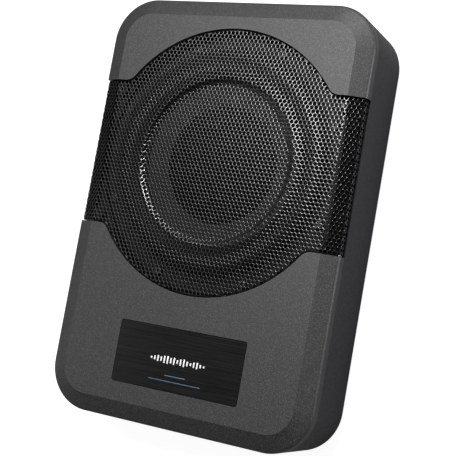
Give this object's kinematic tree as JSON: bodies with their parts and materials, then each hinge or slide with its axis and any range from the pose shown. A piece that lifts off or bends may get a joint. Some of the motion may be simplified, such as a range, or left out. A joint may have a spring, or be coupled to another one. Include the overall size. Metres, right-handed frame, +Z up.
{
  "type": "powered car subwoofer",
  "caption": "Flat under-seat powered subwoofer: rounded box, round perforated grille on a full-width band, badge plate, driver, amplifier and recessed sockets.",
  "frame": {"origin": "centre of the footprint, on the surface the rubber feet stand on", "axes": "+Z up through the grille face, +Y along the length towards the driver end, +X across the width; the sockets are in the -Y end"},
  "size_m": [0.2318, 0.3438, 0.071],
  "materials": {
    "body_paint": "satin dark grey paint on die-cast aluminium",
    "panel_paint": "satin dark grey paint with a fine metallic fleck",
    "grille_black": "semi-gloss black powder coat on perforated steel",
    "badge_black": "brushed black anodised",
    "moulded_black": "fine matte texture",
    "rubber": "matte",
    "foam": "open-cell foam",
    "zinc_screw": "zinc plated",
    "black_screw": "black oxide",
    "cone_grey": "satin grey moulded cone",
    "cap_black": "satin black",
    "basket_steel": "black painted pressed steel",
    "motor_steel": "zinc plated",
    "ferrite": "dull grey",
    "spider_cloth": "treated woven cloth",
    "former": "thin rolled foil",
    "copper": "enamelled copper wire",
    "board_green": "solder mask",
    "bare_aluminium": "extruded",
    "capacitor_sleeve": "shrunk sleeve",
    "chip_black": "moulded epoxy",
    "nickel": "nickel plated",
    "red_plastic": "glossy",
    "white_plastic": "glossy",
    "connector_black": "matte nylon",
    "lens_blue": "clear lens",
    "lead_red": "flexible insulation",
    "lead_black": "flexible insulation"
  },
  "bodies": {
    "enclosure": {"rear_chassis": "body_paint", "rubber_feet": "rubber", "body_seal": "foam", "baffle_frame": "moulded_black", "upper_trim_panel": "panel_paint", "lower_trim_panel": "panel_paint", "badge_plate": "badge_black", "grille": "grille_black", "grille_foam": "foam", "grille_nuts": "zinc_screw", "cover_screws": "black_screw", "trim_screws": "zinc_screw", "driver_basket": "basket_steel", "driver_gasket": "foam", "driver_screws": "black_screw", "surround": "rubber", "spider": "spider_cloth", "top_plate": "motor_steel", "magnet": "ferrite", "yoke": "motor_steel", "terminal_block": "connector_black", "terminal_blades": "nickel", "tinsel_leads": "copper", "speaker_lead_positive": "lead_red", "speaker_lead_negative": "lead_black", "cable_grommet": "rubber", "amp_board": "board_green", "board_screws": "zinc_screw", "heat_spreader": "bare_aluminium", "power_transistors": "chip_black", "filter_capacitors": "capacitor_sleeve", "power_transformer": "copper", "output_inductors": "ferrite", "control_chips": "chip_black", "speaker_header": "white_plastic", "connector_panel": "connector_black", "panel_screws": "black_screw", "rca_housing": "connector_black", "rca_shells": "nickel", "rca_insert_red": "red_plastic", "rca_insert_white": "white_plastic", "power_socket": "connector_black", "socket_pins": "nickel", "remote_jack": "connector_black", "phase_switch_body": "connector_black", "level_pot": "connector_black", "lowpass_pot": "connector_black", "power_led": "lens_blue"},
    "cone_assembly": {"cone": "cone_grey", "dust_cap": "cap_black", "coil_former": "former", "coil_winding": "copper"},
    "level_control": {"level_knob": "connector_black", "level_shaft": "nickel"},
    "lowpass_control": {"lowpass_knob": "connector_black", "lowpass_shaft": "nickel"},
    "phase_slider": {"phase_switch_slider": "white_plastic"}
  },
  "joints": [
    {"name": "cone_travel", "type": "slide", "parent": "enclosure", "child": "cone_assembly", "axis": [0, 0, 1], "range_m": [-0.005, 0.005], "stiffness_N_per_m": 3000, "deforming": ["surround", "spider", "tinsel_leads"]},
    {"name": "level_turn", "type": "hinge", "parent": "enclosure", "child": "level_control", "pos_m": [-0.06, -0.16, 0.026], "axis": [0, 1, 0], "range_deg": [-150, 150]},
    {"name": "lowpass_turn", "type": "hinge", "parent": "enclosure", "child": "lowpass_control", "pos_m": [-0.038, -0.16, 0.026], "axis": [0, 1, 0], "range_deg": [-150, 150]},
    {"name": "phase_slide", "type": "slide", "parent": "enclosure", "child": "phase_slider", "axis": [1, 0, 0], "range_m": [0, 0.004]}
  ]
}
